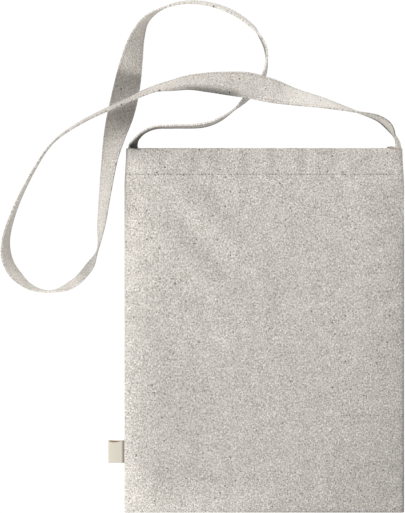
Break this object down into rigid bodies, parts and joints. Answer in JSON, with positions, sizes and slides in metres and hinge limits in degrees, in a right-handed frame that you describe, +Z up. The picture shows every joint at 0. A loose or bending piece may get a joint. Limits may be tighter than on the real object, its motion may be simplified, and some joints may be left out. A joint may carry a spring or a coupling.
{
  "type": "shopping bag",
  "caption": "Flat cotton canvas shopping bag lying on its back, open at the top, with a long cross-body strap thrown in loops and a small folded side label.",
  "frame": {"origin": "middle of the bag's body on the surface that it lies on", "axes": "+Z up from the surface, +Y from the bottom seam towards the mouth, +X across the bag towards the side seam without the label"},
  "size_m": [0.4312, 0.5488, 0.0433],
  "materials": {
    "canvas": "matt melange cotton canvas, warm light grey with fine light and dark flecks",
    "label_tape": "matt cream woven tape, bare"
  },
  "bodies": {
    "root": {"front_panel": "canvas", "back_panel": "canvas", "strap": "canvas", "label": "label_tape"}
  },
  "joints": []
}
